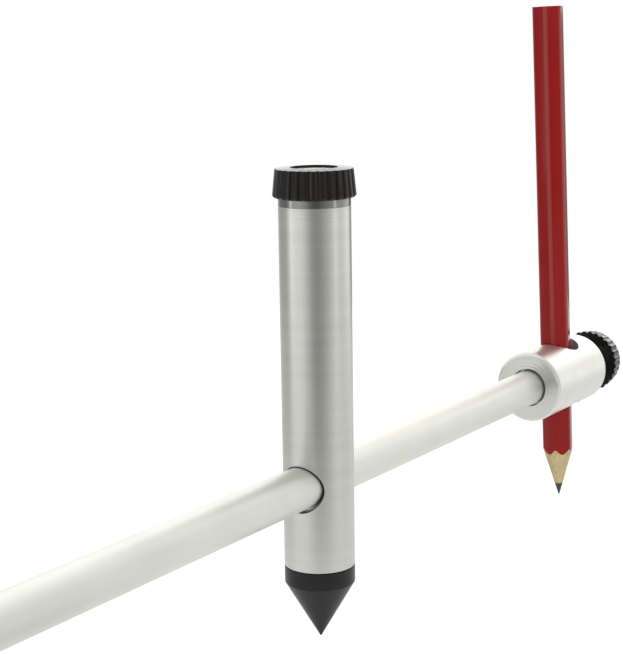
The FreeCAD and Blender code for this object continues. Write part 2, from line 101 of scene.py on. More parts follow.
class Wire:
    """An output of a node. Sums written with it add Math nodes to the same tree."""

    def __init__(self, tree, socket=None):
        self.tree = tree
        self.socket = socket

    def node(self, kind, settings=None, sockets=None, output=0):
        """Adds a node and returns one of its outputs as a Wire."""
        made = self.tree.nodes.new(kind)
        for name, value in (settings or {}).items():
            if name == "stops":
                set_stops(made.color_ramp, value)
            else:
                setattr(made, name, value)
        for name, value in (sockets or {}).items():
            if isinstance(value, Wire):
                self.tree.links.new(value.socket, made.inputs[name])
            else:
                made.inputs[name].default_value = value
        return Wire(self.tree, made.outputs[output] if made.outputs else None)

    def sum(self, operation, *values):
        return self.node("ShaderNodeMath", {"operation": operation}, dict(enumerate(values)))

    def __add__(self, other):
        return self.sum("ADD", self, other)

    __radd__ = __add__

    def __sub__(self, other):
        return self.sum("SUBTRACT", self, other)

    def __rsub__(self, other):
        return self.sum("SUBTRACT", other, self)

    def __mul__(self, other):
        return self.sum("MULTIPLY", self, other)

    __rmul__ = __mul__

    def clamped(self, low, high):
        """This value brought between 0 at low and 1 at high, with soft ends."""
        settings = {"interpolation_type": "SMOOTHSTEP"}
        return self.node("ShaderNodeMapRange", settings,
                         {"Value": self, "From Min": low, "From Max": high})

    def between(self, first, second):
        """A colour between two, with this value from 0 to 1 as the share of the second."""
        mix = {"data_type": "RGBA"}
        return self.node("ShaderNodeMix", mix, {0: self, 6: first, 7: second}, output=2)


def grey(level):
    return (level, level, level, 1)


def set_stops(ramp, stops):
    """Gives a ramp its stops, as pairs of place and grey level."""
    while len(ramp.elements) > 1:
        ramp.elements.remove(ramp.elements[-1])
    for number, (place, level) in enumerate(stops):
        stop = ramp.elements[0] if number == 0 else ramp.elements.new(place)
        stop.position = place
        stop.color = grey(level)


# %% [markdown]
# ## The studio
#
# Polished metal shows the room it stands in more than its own colour, so the room is part of
# the finish. The world is plain white. In it a tent wall stands round the tool. It is darker at
# the front and has a bright panel on each side, so a metal tube shows a soft dark band down its
# middle between two light ones. Higher up the wall is more even, with one bright window at the
# back right, and a pale roof covers it, brightest at the back. The camera looks through all of
# it at the white. The tent's front is the side where the camera stands above. It is a fixed
# direction in the room, so it stays there when the tool is seen from another side.

# %% Build the white room
WHITE = (1, 1, 1, 1)
TENT_FRONT = (-math.sin(CAMERA_HEADING), -math.cos(CAMERA_HEADING), 0)
TENT_RIGHT = (math.cos(CAMERA_HEADING), -math.sin(CAMERA_HEADING), 0)
# Brightness of the wall, at angles in degrees from the tent's front to the right. The narrow
# peaks of the lower wall are two strip lights, and that of the middle wall is the window.
LOWER_WALL = [
    (-180, 1.20), (-168, 1.00), (-155, 0.60), (-135, 0.42), (-100, 0.38), (-87, 0.72),
    (-84, 1.75), (-78, 1.75), (-74, 1.02), (-48, 0.99), (-32, 0.76), (-18, 0.42), (-6, 0.23),
    (6, 0.21), (20, 0.29), (38, 0.49), (55, 0.68), (62, 0.80), (65, 1.60), (69, 1.60), (73, 0.76),
    (95, 0.82), (112, 1.10), (132, 1.25), (140, 0.30), (165, 0.22), (172, 1.00), (180, 1.20),
]
MIDDLE_WALL = [
    (-180, 1.40), (-160, 1.30), (-140, 0.90), (-120, 0.74), (-60, 0.88), (0, 0.45), (60, 0.85),
    (95, 0.58), (110, 0.75), (134, 1.20), (139, 2.55), (158, 2.55), (163, 1.30), (180, 1.40),
]
UPPER_WALL = [
    (-180, 1.40), (-160, 1.35), (-140, 0.90), (-120, 0.74), (-60, 0.85), (0, 0.60), (60, 0.85),
    (95, 0.58), (108, 0.72), (130, 1.22), (150, 1.35), (180, 1.40),
]
ROOF = [
    (-180, 1.35), (-150, 1.20), (-110, 0.70), (0, 0.62), (90, 0.72), (120, 1.10), (150, 1.25),
    (180, 1.35),
]
TABLE_FAR = [
    (-180, 0.90), (-135, 0.62), (-100, 0.55), (-75, 0.90), (-48, 0.90), (-30, 0.72), (-15, 0.42),
    (-5, 0.28), (6, 0.26), (20, 0.36), (38, 0.55), (58, 0.82), (90, 0.72), (130, 0.80), (180, 0.90),
]

world = bpy.data.worlds.new("studio")
bpy.context.scene.world = world
world.use_nodes = True
world.node_tree.nodes.clear()
room = Wire(world.node_tree)
background = room.node("ShaderNodeBackground", sockets={"Color": WHITE, "Strength": 1.0})
room.node("ShaderNodeOutputWorld", sockets={"Surface": background})


def clear_selection():
    """Leaves edit mode and selects nothing, because an operator acts on all that is selected."""
    if bpy.context.object and bpy.context.object.mode != "OBJECT":
        bpy.ops.object.mode_set(mode="OBJECT")
    bpy.ops.object.select_all(action="DESELECT")


def surface_place(start):
    """The place of each point of a surface, in metres."""
    return start.node("ShaderNodeTexCoord", output="Object")


def part_of(start, place, axis):
    """One part of a place: how far it lies along the X, Y or Z axis."""
    return start.node("ShaderNodeSeparateXYZ", sockets={0: place}, output=axis)


def wall_light(start, place, wall):
    """The brightness of a wall in the direction of a place, as seen from the post."""
    front, right = [start.node("ShaderNodeVectorMath", {"operation": "DOT_PRODUCT"},
                               {0: place, 1: direction}, "Value")
                    for direction in (TENT_FRONT, TENT_RIGHT)]
    turn_round = start.sum("ARCTAN2", right, front) * (0.5 / math.pi) + 0.5
    stops = [(angle / 360 + 0.5, level) for angle, level in wall]
    return start.node("ShaderNodeValToRGB", {"stops": stops}, {0: turn_round})


def empty_material(name):
    """A material without nodes, and a Wire to start from."""
    material = bpy.data.materials.new(name)
    material.use_nodes = True
    material.node_tree.nodes.clear()
    return material, Wire(material.node_tree)


def set_in_studio(thing, name, material):
    """Names a new object, gives it its paint and marks it as no part of the tool."""
    thing.name = name
    bpy.ops.object.transform_apply(location=True, rotation=True, scale=True)
    thing.data.materials.append(material)


print("world nodes:", len(world.node_tree.nodes))

# %% Hang the tent
TENT_RADIUS = 0.9
TENT_TOP = 0.55
TENT_BOTTOM = -0.5
STUDIO_SIDES = 96
ROOF_BLEND = 0.08
# Each part of the tent above the lower wall, with the heights between which it takes over.
HIGHER_PARTS = [
    (0.145, 0.16, MIDDLE_WALL),
    (0.25, 0.33, UPPER_WALL),
    (TENT_TOP - ROOF_BLEND, TENT_TOP, ROOF),
]

cloth_material, cloth = empty_material("tent_cloth")
cloth_place = surface_place(cloth)
cloth_height = part_of(cloth, cloth_place, "Z")
cloth_light = wall_light(cloth, cloth_place, LOWER_WALL)
for start_height, full_height, wall in HIGHER_PARTS:
    next_light = wall_light(cloth, cloth_place, wall)
    cloth_light = cloth_height.clamped(start_height, full_height).between(cloth_light, next_light)
shine = cloth.node("ShaderNodeEmission", sockets={"Color": cloth_light, "Strength": 1.0})
cloth.node("ShaderNodeOutputMaterial", sockets={"Surface": shine})

clear_selection()
bpy.ops.mesh.primitive_cylinder_add(vertices=STUDIO_SIDES, radius=TENT_RADIUS,
                                    depth=TENT_TOP - TENT_BOTTOM,
                                    location=(0, 0, (TENT_TOP + TENT_BOTTOM) / 2))
tent = bpy.context.object
tent.visible_camera = False
set_in_studio(tent, "tent", cloth_material)
print("tent height:", TENT_TOP - TENT_BOTTOM)

# %% [markdown]
# The table looks nearly plain white to the camera, with enough of its real surface mixed in to
# keep the tool's shadow. In the metal it is pale near the tool and takes on the wall's pattern
# farther out, so the post's dark band fades towards its foot.

# %% Lay the table
TABLE_RADIUS = 0.42
TABLE_SINK = 0.0002
NEAR_LEVEL = 0.85
FADE_START = 0.0
FADE_END = 0.20
CAMERA_LEVEL = 1.14
CAMERA_GLOW = 0.85
TABLE_COLOUR = (0.80, 0.80, 0.79, 1)

paint_material, paint = empty_material("table_paint")
paint_place = surface_place(paint)
away = paint.node("ShaderNodeVectorMath", {"operation": "LENGTH"}, {0: paint_place}, "Value")
far_light = wall_light(paint, paint_place, TABLE_FAR)
in_metal_light = away.clamped(FADE_START, FADE_END).between(grey(NEAR_LEVEL), far_light)
by_eye = paint.node("ShaderNodeLightPath", output="Is Camera Ray")
in_metal = paint.node("ShaderNodeLightPath", output="Is Glossy Ray")
through_glass = paint.node("ShaderNodeLightPath", output="Is Transmission Ray")
surface = paint.node("ShaderNodeBsdfDiffuse", sockets={"Color": TABLE_COLOUR})
glow = paint.node("ShaderNodeEmission", sockets={
    "Color": in_metal.between(grey(CAMERA_LEVEL), in_metal_light), "Strength": 1.0})
seen = (by_eye + through_glass) * CAMERA_GLOW + in_metal
blend = paint.node("ShaderNodeMixShader", sockets={0: seen, 1: surface, 2: glow})
paint.node("ShaderNodeOutputMaterial", sockets={"Surface": blend})

clear_selection()
bpy.ops.mesh.primitive_circle_add(vertices=STUDIO_SIDES, radius=TABLE_RADIUS, fill_type="NGON",
                                  location=(0, 0, -TABLE_SINK))
set_in_studio(bpy.context.object, "table", paint_material)
print("table radius:", TABLE_RADIUS)

# %% [markdown]
# One broad soft panel hangs high at the front. It lights wood, paint and plastic.
# Metal doesn't show it, because it would draw a hot streak along every tube.

# %% Hang the lamp
LAMP_PLACE = Vector((-0.22, -0.36, 0.46))
LAMP_AIM = Vector((0.03, 0, 0.05))
LAMP_SIZE = 0.40
LAMP_POWER = 1.5

lamp_data = bpy.data.lights.new("softbox", "AREA")
lamp_data.shape = "SQUARE"
lamp_data.size = LAMP_SIZE
lamp_data.energy = LAMP_POWER
lamp = bpy.data.objects.new("softbox", lamp_data)
bpy.context.scene.collection.objects.link(lamp)
lamp.location = LAMP_PLACE
lamp.rotation_euler = (LAMP_AIM - LAMP_PLACE).to_track_quat("-Z", "Y").to_euler()
lamp.visible_glossy = False
print("lamp power:", LAMP_POWER)

# %% [markdown]
# ## Finishes
#
# Each finish is one material whose pattern is built from noise in the piece's own coordinates,
# in metres. A finish is a recipe: it gets a Wire to start from and returns what feeds the
# sockets that vary. Values that don't vary are set on the shader itself. Noise seldom strays
# from its middle, so where a whole range of tones is wanted, its usual span is stretched.

# %% Make finishes from recipes
MM = 0.001
NOISE_SPAN = (0.3, 0.7)
HOLE_BLEND = 0.10
HOLE_DULLING = 0.25
SPECK_SPAN = (0.74, 0.80)


def noise(start, place, grain, detail=3.0, stretch=(1, 1, 1)):
    """Noise from 0 to 1 with a grain given in millimetres, stretched along an axis if wanted."""
    scale = [part / (grain * MM) for part in stretch]
    laid = start.node("ShaderNodeMapping", sockets={"Vector": place, "Scale": scale})
    return start.node("ShaderNodeTexNoise",
                      sockets={"Vector": laid, "Scale": 1.0, "Detail": detail})


def lines(start, along, pitch, detail=2.0):
    """Noise that changes along one value only, as the marks of a cutting tool do."""
    return start.node("ShaderNodeTexNoise", {"noise_dimensions": "1D"},
                      {"W": along * (1 / (pitch * MM)), "Scale": 1.0, "Detail": detail})


def raised(start, height, depth):
    """A normal roughened by a height from 0 to 1, with its depth in millimetres."""
    return start.node("ShaderNodeBump", sockets={"Height": height, "Distance": depth * MM})


def make_finish(name, recipe, **constants):
    """A material whose varying sockets come from the recipe."""
    material, start = empty_material(name)
    sockets = {key.replace("_", " "): value for key, value in constants.items()}
    sockets.update(recipe(start))
    shader = start.node("ShaderNodeBsdfPrincipled", sockets=sockets)
    start.node("ShaderNodeOutputMaterial", sockets={"Surface": shader})
    return material


def radius_from(start, first, second):
    """Distance from an axis, from the two distances square to it."""
    return start.sum("SQRT", first * first + second * second)


def bored(radius, edge):
    """1 on the wall of a drilled hole, whose radius is given in millimetres, and 0 outside."""
    return (edge * MM - radius).clamped(-HOLE_BLEND * MM, 0.0)


def drilled(hole, colour, roughness, shade):
    """A finish's colour and roughness: painted shade darkens the colour in a drilled hole, which is
    also duller.
    """
    return hole.between(colour, grey(shade)), roughness + hole * HOLE_DULLING


# %% [markdown]
# ### Metals
#
# The post is satin aluminium, turned: its marks run round it, so they change only with height.
# The beam is drawn and anodised: a matt grain with faint lines along its length. The holder is
# bright from the lathe, with fine rings on its end faces. Lines on the ends are rings about the
# beam's axis, so one value, the distance from that axis plus the distance along it, serves the
# faces and the side alike. The front face is cut deeper, and a painted shade makes it greyer.
# The walls of the post's cross hole and of the pencil's hole are darkened by painted shade.
# Chatter of the lathe's tool sets in near the post's top, and the cone is rubbed a little shinier
# towards its tip.

# %% Metals
# Two places in metres, as a finish reads them, and then sizes in millimetres.
BEAM_LEVEL = (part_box("beam_tube")[0].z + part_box("beam_tube")[1].z) / 2
HOLDER_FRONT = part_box("holder_body")[0].x
CROSS_HOLE_RADIUS = 5.0
CROSS_HOLE_DROP = 0.3
LEAN = -2.2
PENCIL_FLATS = 7.5
PENCIL_PLAY = 1.3
PENCIL_TURN = 15.0
PENCIL_GRIP = 0.03
RING_DEPTH = 0.010
FACE_DEPTH = 0.5
FACE_BLEND = 0.3
CHATTER_START = 88.5
CHATTER_FULL = 91.5
RUBBED_TIP = 4.0
# Grey levels of the painted shade inside the post's cross hole and the pencil's hole.
POST_HOLE_PAINTED_SHADE = 0.16
PENCIL_HOLE_PAINTED_SHADE = 0.55
# The two shades between which each metal's pattern moves.
POST_SHADES = ((0.655, 0.66, 0.61, 1), (0.70, 0.705, 0.655, 1))
BEAM_SHADES = ((0.82, 0.83, 0.765, 1), (0.86, 0.865, 0.80, 1))
HOLDER_SHADES = ((0.84, 0.84, 0.785, 1), (0.88, 0.88, 0.825, 1))
# The painted shade that greys the holder's front face.
HOLDER_FACE_PAINTED_SHADE = (0.69, 0.685, 0.65, 1)
BUSH_SHADES = ((0.25, 0.25, 0.24, 1), (0.32, 0.32, 0.30, 1))
BLACKENED_SHADES = ((0.006, 0.006, 0.0055, 1), (0.011, 0.0105, 0.0095, 1))
ZINC_SHADES = ((0.56, 0.57, 0.58, 1), (0.66, 0.66, 0.65, 1))
SPRING_SHADES = ((0.38, 0.38, 0.38, 1), (0.50, 0.49, 0.48, 1))
BRASS_SHADES = ((0.66, 0.48, 0.21, 1), (0.80, 0.62, 0.31, 1))
DISC_SHADES = ((0.62, 0.60, 0.56, 1), (0.68, 0.66, 0.61, 1))
pencil_at = (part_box("pencil_lead")[0].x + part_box("pencil_lead")[1].x) / 2 / MM
pencil_corner = PENCIL_FLATS / math.sqrt(3)
hole_radius = pencil_corner + PENCIL_PLAY
hole_at = pencil_at + PENCIL_PLAY - PENCIL_GRIP


def turned_post(start):
    place = surface_place(start)
    y, z = [part_of(start, place, axis) for axis in "YZ"]
    fine = lines(start, z, 0.22)
    broad = lines(start, z, 2.6)
    cloud = noise(start, place, 9.0)
    specks = noise(start, place, 0.7, 1.0).clamped(*SPECK_SPAN)
    chattered = z.clamped(CHATTER_START * MM, CHATTER_FULL * MM)
    chatter = (lines(start, z, 0.5, 1.0) - 0.5) * chattered
    tone = (cloud * 0.5 + broad * 0.5 + chatter * 1.2).clamped(*NOISE_SPAN)
    marks = fine * 0.7 + broad * 0.3 + chatter * 2.0
    hole = bored(radius_from(start, y, z - (BEAM_LEVEL - CROSS_HOLE_DROP * MM)), CROSS_HOLE_RADIUS)
    rough = fine * 0.08 + cloud * 0.05 + specks * 0.2 + 0.26
    # Painted shade darkens the wall of the cross hole.
    colour, roughness = drilled(hole, tone.between(*POST_SHADES), rough, POST_HOLE_PAINTED_SHADE)
    return {
        "Base Color": colour,
        "Roughness": roughness,
        "Normal": raised(start, marks - specks * 0.5, 0.004),
    }


def drawn_beam(start):
    place = surface_place(start)
    grain = noise(start, place, 0.16, 2.0)
    drawn = noise(start, place, 0.45, 3.0, (0.01, 1, 1))
    tone = noise(start, place, 14.0).clamped(*NOISE_SPAN)
    return {
        "Base Color": tone.between(*BEAM_SHADES),
        "Roughness": grain * 0.08 + drawn * 0.08 + 0.42,
        "Normal": raised(start, grain * 0.6 + drawn * 0.4, 0.006),
    }


def turned_holder(start):
    place = surface_place(start)
    x, y, z = [part_of(start, place, axis) for axis in "XYZ"]
    up = z - BEAM_LEVEL
    marks_at = radius_from(start, y, up) + x
    fine = lines(start, marks_at, 0.42)
    broad = lines(start, marks_at, 1.3)
    front = (HOLDER_FRONT + FACE_DEPTH * MM - x).clamped(0.0, FACE_BLEND * MM)
    hole = bored(radius_from(start, x - hole_at * MM, y + up * math.tan(math.radians(LEAN))),
                 hole_radius)
    bright = noise(start, place, 6.0).clamped(*NOISE_SPAN).between(*HOLDER_SHADES)
    # Painted shade greys the front face.
    with_painted_face_shade = front.between(bright, HOLDER_FACE_PAINTED_SHADE)
    rough = fine * 0.08 + broad * 0.06 - front * 0.20 + 0.33
    # Painted shade darkens the wall of the pencil's hole.
    colour, roughness = drilled(hole, with_painted_face_shade, rough, PENCIL_HOLE_PAINTED_SHADE)
    return {
        "Base Color": colour,
        "Roughness": roughness,
        "Normal": raised(start, (fine * 0.6 + broad * 0.4) * (front * 6.0 + 0.5), RING_DEPTH),
    }


def turned_bush(start):
    place = surface_place(start)
    fine = lines(start, part_of(start, place, "Z"), 0.14)
    cloud = noise(start, place, 3.0)
    return {
        "Base Color": cloud.between(*BUSH_SHADES),
        "Roughness": fine * 0.08 + cloud * 0.04 + 0.08,
        "Normal": raised(start, fine, 0.003),
    }


def blackened_steel(start):
    place = surface_place(start)
    z = part_of(start, place, "Z")
    marks = lines(start, z, 0.35)
    cloud = noise(start, place, 3.5, 4.0)
    rubbed = (RUBBED_TIP * MM - z).clamped(0.0, RUBBED_TIP * MM)
    shade = (cloud * 0.7 + marks * 0.3).clamped(*NOISE_SPAN)
    return {
        "Base Color": shade.between(*BLACKENED_SHADES),
        "Roughness": marks * 0.10 + cloud * 0.10 + 0.22 - rubbed * 0.10,
        "Normal": raised(start, marks, 0.006),
    }


def zinc_plate(start):
    place = surface_place(start)
    grain = noise(start, place, 0.3, 4.0)
    cloud = noise(start, place, 4.0)
    return {
        "Base Color": cloud.between(*ZINC_SHADES),
        "Roughness": grain * 0.14 + cloud * 0.08 + 0.24,
        "Normal": raised(start, grain, 0.004),
    }


def spring_wire(start):
    place = surface_place(start)
    drawn = noise(start, place, 0.25, 3.0, (1, 1, 0.3))
    return {
        "Base Color": drawn.between(*SPRING_SHADES),
        "Roughness": drawn * 0.15 + 0.25,
        "Normal": raised(start, drawn, 0.003),
    }


def turned_brass(start):
    place = surface_place(start)
    x, z = [part_of(start, place, axis) for axis in "XZ"]
    fine = lines(start, z + x, 0.15)
    cloud = noise(start, place, 2.5)
    return {
        "Base Color": cloud.between(*BRASS_SHADES),
        "Roughness": fine * 0.14 + cloud * 0.08 + 0.22,
        "Normal": raised(start, fine, 0.004),
    }


def disc_metal(start):
    place = surface_place(start)
    brushed = noise(start, place, 0.2, 3.0, (1, 0.03, 1))
    cloud = noise(start, place, 2.0)
    return {
        "Base Color": cloud.between(*DISC_SHADES),
        "Roughness": brushed * 0.16 + 0.26,
        "Normal": raised(start, brushed, 0.003),
    }


METAL = {"Metallic": 1.0}
finishes = {
    "post_aluminium": make_finish("post_aluminium_satin", turned_post, **METAL),
    "beam_aluminium": make_finish("beam_aluminium_matt", drawn_beam, **METAL),
    "holder_aluminium": make_finish("holder_aluminium_bright", turned_holder, **METAL),
    "bush_steel": make_finish("bush_steel_turned", turned_bush, **METAL),
    "black_steel": make_finish("black_steel_oxide", blackened_steel, Specular_IOR_Level=0.32),
    "zinc_steel": make_finish("zinc_steel_plate", zinc_plate, **METAL),
    "spring_steel": make_finish("spring_steel_wire", spring_wire, **METAL),
    "brass": make_finish("brass_turned", turned_brass, **METAL),
    "disc_aluminium": make_finish("disc_aluminium_brushed", disc_metal, **METAL),
}
print("metals:", len(finishes))

# %% [markdown]
# ### Plastics and the pencil's materials
#
# Moulded plastic has a very fine grain that breaks up its gloss. The pencil's paint is a glossy
# deep red, with a painted highlight, paler and a little rougher, along its six ridges from the
# holder upwards. Its cedar has grain along its length, and graphite is a dull grey with a soft
# metallic shine.

# %% Plastics, paint, wood and graphite
PENCIL_SIDES = 6
RIDGE_SPAN = (0.5, 0.97)
RIDGE_HIGHLIGHT_START = 25.0
RIDGE_HIGHLIGHT_FULL = 55.0
# The two shades between which each pattern moves, and the red of the ridges' painted highlight.
BLACK_SHADES = ((0.006, 0.0045, 0.0035, 1), (0.009, 0.0075, 0.006, 1))
WHITE_SHADES = ((0.80, 0.79, 0.75, 1), (0.86, 0.85, 0.81, 1))
RED_SHADES = ((0.245, 0.0012, 0.001, 1), (0.285, 0.0025, 0.002, 1))
RIDGE_HIGHLIGHT_RED = (0.30, 0.052, 0.045, 1)
CEDAR_SHADES = ((0.46, 0.35, 0.165, 1), (0.64, 0.53, 0.29, 1))
GRAPHITE_SHADES = ((0.035, 0.035, 0.038, 1), (0.09, 0.09, 0.095, 1))


def moulded_black(start):
    place = surface_place(start)
    grain = noise(start, place, 0.25)
    cloud = noise(start, place, 3.0)
    return {
        "Base Color": cloud.between(*BLACK_SHADES),
        "Roughness": grain * 0.06 + cloud * 0.08 + 0.06,
        "Normal": raised(start, grain, 0.003),
    }


def moulded_white(start):
    place = surface_place(start)
    grain = noise(start, place, 0.5, 2.0)
    return {
        "Base Color": grain.between(*WHITE_SHADES),
        "Roughness": grain * 0.1 + 0.35,
        "Normal": raised(start, grain, 0.005),
    }


def red_lacquer(start):
    place = surface_place(start)
    x, y, z = [part_of(start, place, axis) for axis in "XYZ"]
    orange_peel = noise(start, place, 1.1, 2.0)
    cloud = noise(start, place, 8.0, 3.0, (1, 1, 0.3))
    across = y + (z - BEAM_LEVEL) * math.tan(math.radians(LEAN))
    bearing = start.sum("ARCTAN2", across, x - pencil_at * MM) - math.radians(PENCIL_TURN)
    # A painted highlight along the six ridges, fading in from the holder upwards.
    rubbed = z.clamped(RIDGE_HIGHLIGHT_START * MM, RIDGE_HIGHLIGHT_FULL * MM)
    painted_ridge_highlight = start.sum("COSINE", bearing * PENCIL_SIDES).clamped(*RIDGE_SPAN) * rubbed
    return {
        "Base Color": (painted_ridge_highlight * 0.85).between(cloud.between(*RED_SHADES), RIDGE_HIGHLIGHT_RED),
        "Roughness": orange_peel * 0.08 + painted_ridge_highlight * 0.10 + 0.10,
        "Normal": raised(start, orange_peel, 0.004),
    }


def cedar(start):
    place = surface_place(start)
    fibre = noise(start, place, 0.5, 4.0, (1, 1, 0.08))
    rings = noise(start, place, 2.2, 2.0, (1, 0.5, 0.06))
    tone = (fibre * 0.6 + rings * 0.4).clamped(*NOISE_SPAN)
    return {
        "Base Color": tone.between(*CEDAR_SHADES),
        "Roughness": fibre * 0.2 + 0.50,
        "Normal": raised(start, fibre, 0.05),
    }


def rubbed_graphite(start):
    place = surface_place(start)
    grain = noise(start, place, 0.15)
    return {
        "Base Color": grain.between(*GRAPHITE_SHADES),
        "Roughness": grain * 0.2 + 0.32,
        "Normal": raised(start, grain, 0.01),
    }


finishes["black_plastic"] = make_finish("black_plastic_moulded", moulded_black,
                                        Specular_IOR_Level=0.28)
finishes["white_plastic"] = make_finish("white_plastic_moulded", moulded_white)
finishes["pencil_paint"] = make_finish("pencil_paint_gloss", red_lacquer, Specular_IOR_Level=0.28)
finishes["pencil_wood"] = make_finish("pencil_wood_cedar", cedar)
finishes["graphite"] = make_finish("graphite_rubbed", rubbed_graphite, Metallic=0.3)
print("finishes:", len(finishes))

# %% [markdown]
# ### Nodes that stay
#
# The pieces inside the tool have the right shape already. They keep it, and only get their
# finish. Every construction node is dressed here, also those that a new piece stands for later.

# %% Dress the construction nodes
slot_of = {part["node"]: part["material_slot"] for part in frame["record"]["subparts"]}
for node, thing in frame["nodes"].items():
    thing.data.materials.clear()
    thing.data.materials.append(finishes[slot_of[node]])
print("nodes dressed:", len(slot_of))

# %% [markdown]
# ## Turning
#
# Nearly every piece here comes from a lathe, so one function does what a lathe does. A circle
# is the first cut. It is extruded along the axis and scaled to the next radius, again and
# again, down a profile of pairs of radius and height in millimetres. Its two ends are closed
# by faces, unless the profile runs back to its start, as it does on a tube or a ring.

# %% Turn a profile
SIDES = 128
MERGE_GAP = 0.001
EASED_STEPS = 2
FINE_EDGE = 0.05
EDGE = 0.08
SOFT_EDGE = 0.12


def extrude_to(step, place, ratio):
    """Extrudes what is selected along the axis, then scales it about the axis."""
    bpy.ops.mesh.extrude_region_move(TRANSFORM_OT_translate={"value": (0, 0, step * MM)})
    bpy.ops.transform.resize(value=(ratio, ratio, 1), center_override=(0, 0, place * MM))


def first_ring(name, radius, height, sides, filled):
    """A circle to start a turned piece with, open in edit mode with all of it selected."""
    clear_selection()
    bpy.ops.mesh.primitive_circle_add(vertices=sides, radius=radius * MM,
                                      location=(0, 0, height * MM),
                                      fill_type="NGON" if filled else "NOTHING")
    piece = bpy.context.object
    piece.name = name
    piece.data.name = name
    bpy.ops.object.transform_apply(location=True, rotation=True, scale=True)
    bpy.ops.object.mode_set(mode="EDIT")
    bpy.ops.mesh.select_all(action="SELECT")
    return piece


def close_piece(piece, loop):
    """Merges the ends of a loop profile, turns every face outwards and leaves edit mode."""
    bpy.ops.mesh.select_all(action="SELECT")
    if loop:
        bpy.ops.mesh.remove_doubles(threshold=MERGE_GAP * MM)
    bpy.ops.mesh.normals_make_consistent(inside=False)
    bpy.ops.object.mode_set(mode="OBJECT")
    return piece


def turn(name, profile, sides=SIDES, loop=False):
    """A lathe-turned piece about the upright axis."""
    radius, height = profile[0]
    piece = first_ring(name, radius, height, sides, not loop)
    for next_radius, next_height in profile[1:] + profile[:1] * loop:
        extrude_to(next_height - height, next_height, next_radius / radius)
        radius, height = next_radius, next_height
    return close_piece(piece, loop)


def cutting_rod(name, radius, low, high, sides):
    """A plain upright rod to cut with."""
    return turn(name, [(radius, low), (radius, high)], sides)


def pick(piece):
    """Selects one piece only and makes it the active one."""
    clear_selection()
    piece.select_set(True)
    bpy.context.view_layer.objects.active = piece


def smooth_shading(piece, angle):
    """Shades the piece smooth, apart from edges sharper than an angle in degrees."""
    pick(piece)
    bpy.ops.object.shade_smooth_by_angle(angle=math.radians(angle))
    return piece


def ease_edges(piece, width, angle=30):
    """Rounds the sharp edges a little, as a deburring tool does, and smooths the shading."""
    smooth_shading(piece, angle)
    bevel = piece.modifiers.new("eased", "BEVEL")
    bevel.width = width * MM
    bevel.segments = EASED_STEPS
    bevel.limit_method = "ANGLE"
    bevel.angle_limit = math.radians(angle)
    bevel.harden_normals = True
    bpy.ops.object.modifier_apply(modifier=bevel.name)
    return piece


def cut_with(piece, cutter, operation="DIFFERENCE"):
    """Cuts a piece with a cutter, which is then gone."""
    pick(piece)
    boolean = piece.modifiers.new("cut", "BOOLEAN")
    boolean.operation = operation
    boolean.solver = "EXACT"
    boolean.object = cutter
    bpy.ops.object.modifier_apply(modifier=boolean.name)
    bpy.data.objects.remove(cutter)
    return piece


def settle(piece, place=(0, 0, 0), angles=(0, 0, 0)):
    """Turns a piece by angles in degrees, moves it in millimetres and keeps both in its mesh."""
    pick(piece)
    piece.rotation_euler = [math.radians(angle) for angle in angles]
    piece.location = [part * MM for part in place]
    bpy.ops.object.transform_apply(location=True, rotation=True, scale=True)
    return piece


def install(piece, body, slot, *nodes):
    """Gives a finished piece its finish and its body, and hides the nodes that it stands for."""
    piece.data.materials.clear()
    piece.data.materials.append(finishes[slot])
    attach(piece, body)
    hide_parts(*nodes)
    low = [min(v.co[axis] for v in piece.data.vertices) / MM for axis in range(3)]
    high = [max(v.co[axis] for v in piece.data.vertices) / MM for axis in range(3)]
    size = " x ".join(f"{top - bottom:.1f}" for bottom, top in zip(low, high))
    print(f"{piece.name}: {size} mm, {len(piece.data.polygons)} faces")


def reach(node, axis):
    """The lowest and highest place of a node along an axis, in millimetres."""
    low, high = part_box(node)
    return low[axis] / MM, high[axis] / MM


# %% [markdown]
# ## The post
#
# The post is a piece of tube with one hole drilled across it for the beam. The tube is turned,
# a rod-shaped cutter drills the hole, and its edges are eased so that they catch the light.

# %% The post's tube
POST_RADIUS = 7.5
POST_BORE = 6.0
POST_EDGE = 0.2
TUBE_CHAMFER = 0.25
DRILL_REACH = 12
BEAM_RADIUS = 4.5
ON_ITS_SIDE = (0, 90, 0)
BEAM_HEIGHT = BEAM_LEVEL / MM
tube_low, tube_high = reach("post_tube", 2)

post = turn("post", [
    (POST_BORE, tube_low), (POST_RADIUS - TUBE_CHAMFER, tube_low),
    (POST_RADIUS, tube_low + TUBE_CHAMFER), (POST_RADIUS, tube_high), (POST_BORE, tube_high),
], sides=192, loop=True)
drill = cutting_rod("drill", CROSS_HOLE_RADIUS, -DRILL_REACH, DRILL_REACH, sides=96)
settle(drill, (0, 0, BEAM_HEIGHT - CROSS_HOLE_DROP), ON_ITS_SIDE)
cut_with(post, drill)
ease_edges(post, POST_EDGE)
install(post, "post", "post_aluminium", "post_tube")

# %% [markdown]
# The point is one turned piece: a spigot that is pressed up into the tube, a short collar and
# the cone. Above the tube, the flange of a steel bush shows as a dark ring.

# %% The point and the bush
point_top = reach("pivot_point", 2)[1]
CONE_HEIGHT = 12.55
POINT_FLAT = 0.12
SPIGOT_RADIUS = 5.99
SPIGOT_CHAMFER = 0.6
point = turn("point", [
    (POINT_FLAT, 0), (POST_RADIUS, CONE_HEIGHT), (POST_RADIUS, tube_low),
    (SPIGOT_RADIUS, tube_low), (SPIGOT_RADIUS, point_top - SPIGOT_CHAMFER),
    (SPIGOT_RADIUS - SPIGOT_CHAMFER, point_top),
], sides=160)
ease_edges(point, EDGE, angle=20)
install(point, "post", "black_steel", "pivot_point")

